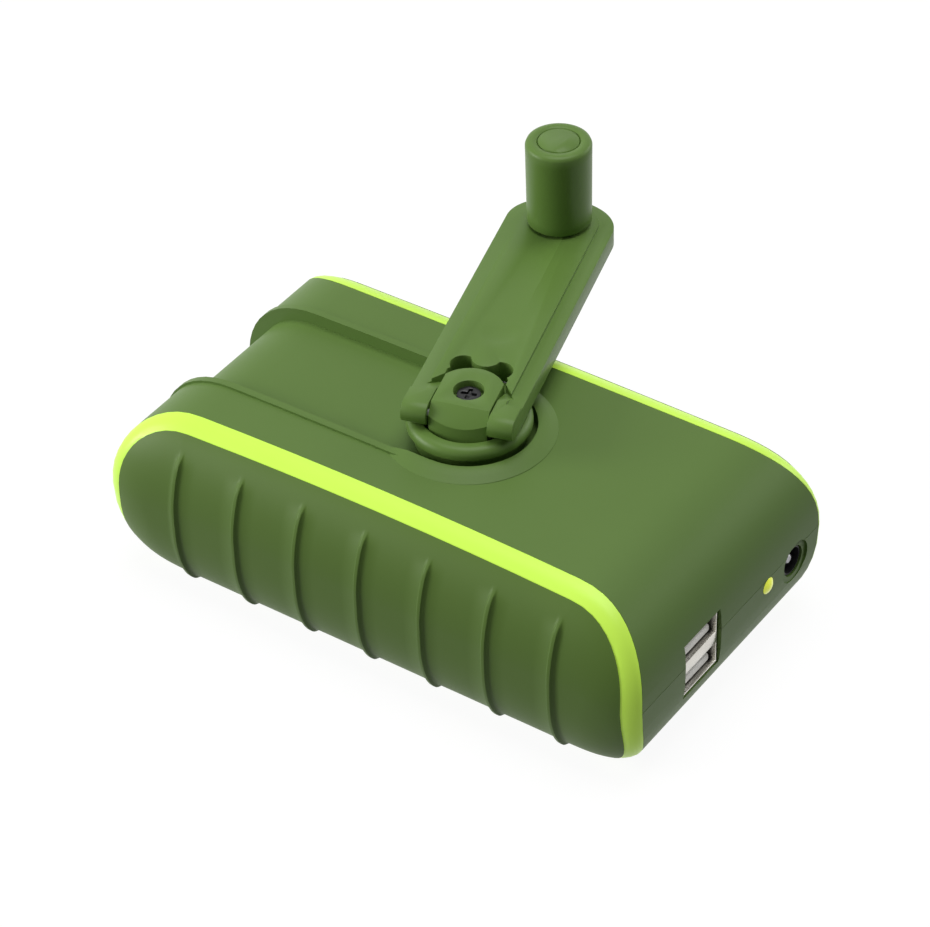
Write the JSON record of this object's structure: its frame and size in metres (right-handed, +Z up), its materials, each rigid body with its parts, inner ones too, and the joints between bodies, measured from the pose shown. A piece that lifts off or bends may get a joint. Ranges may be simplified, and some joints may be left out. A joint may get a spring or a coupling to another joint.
{
  "type": "hand crank power bank",
  "caption": "Rounded hand-cranked power bank with a folding crank on top, ribbed side caps, bright trim loops and charging sockets in one end.",
  "frame": {"origin": "centre of the flat underside of the case", "axes": "+X along the case towards the end with the sockets, +Y across the case away from the side seen in the picture, +Z up along the crank's axis"},
  "size_m": [0.1359, 0.1097, 0.0744],
  "materials": {
    "shell": "satin moulded olive",
    "side_cap": "satin moulded dark olive",
    "trim": "smooth lime",
    "crank": "satin moulded olive",
    "steel": "turned",
    "nickel": "plated sheet",
    "bronze": "plain",
    "winding": "enamelled copper",
    "cell": "shrink wrapped",
    "lead": "smooth",
    "board": "lacquered",
    "ferrite": "ground",
    "black_plastic": "satin",
    "pale_plastic": "satin",
    "gear": "smooth acetal",
    "black_screw": "black oxide",
    "indicator": "clear tinted"
  },
  "bodies": {
    "case": {"upper_shell": "shell", "lower_shell": "shell", "trim_front": "trim", "trim_rear": "trim", "cap_front": "side_cap", "cap_rear": "side_cap", "case_screws": "steel", "shaft_bush": "bronze", "battery_cells": "cell", "battery_tabs": "nickel", "battery_leads": "lead", "main_board": "board", "board_chips": "black_plastic", "board_coil": "ferrite", "board_capacitors": "cell", "board_screws": "steel", "usb_shell": "nickel", "usb_tongues": "pale_plastic", "usb_insulator": "black_plastic", "dc_jack_body": "black_plastic", "dc_jack_pin": "nickel", "status_led": "indicator", "gearbox_base": "pale_plastic", "gearbox_plate": "pale_plastic", "gearbox_screws": "steel", "gear_axles": "steel", "generator_can": "nickel", "generator_endplate": "black_plastic", "stator_coils": "winding"},
    "crank": {"crank_shaft": "steel", "drive_gear": "gear", "crank_hub": "crank", "hub_screw": "black_screw", "hinge_pin": "steel"},
    "arm": {"crank_arm": "crank", "knob_axle": "steel"},
    "grip": {"knob": "crank", "knob_cap": "crank"},
    "gear_one": {"compound_gear_one": "gear"},
    "gear_two": {"compound_gear_two": "gear"},
    "rotor": {"rotor_shaft": "steel", "rotor_magnet": "ferrite", "rotor_pinion": "bronze"}
  },
  "joints": [
    {"name": "crank_spin", "type": "hinge", "parent": "case", "child": "crank", "pos_m": [0.0025, 0, 0.043], "axis": [0, 0, 1], "continuous": true},
    {"name": "arm_fold", "type": "hinge", "parent": "crank", "child": "arm", "pos_m": [0.00421, -0.00596, 0.0503], "axis": [0.9613, 0.2756, 0], "range_deg": [0, 170]},
    {"name": "knob_spin", "type": "hinge", "parent": "arm", "child": "grip", "pos_m": [-0.01487, 0.06056, 0.058], "axis": [0, 0, 1], "continuous": true},
    {"name": "compound_one_spin", "type": "hinge", "parent": "case", "child": "gear_one", "pos_m": [-0.01817, -0.00752, 0.03], "axis": [0, 0, 1], "continuous": true},
    {"name": "compound_two_spin", "type": "hinge", "parent": "case", "child": "gear_two", "pos_m": [-0.03393, -0.00475, 0.027], "axis": [0, 0, 1], "continuous": true},
    {"name": "rotor_spin", "type": "hinge", "parent": "case", "child": "rotor", "pos_m": [-0.03957, 0.01076, 0.03], "axis": [0, 0, 1], "continuous": true}
  ],
  "couplings": [
    {"joint": "compound_one_spin", "follows": "crank_spin", "ratio": -4},
    {"joint": "compound_two_spin", "follows": "crank_spin", "ratio": 12},
    {"joint": "rotor_spin", "follows": "crank_spin", "ratio": -54}
  ]
}
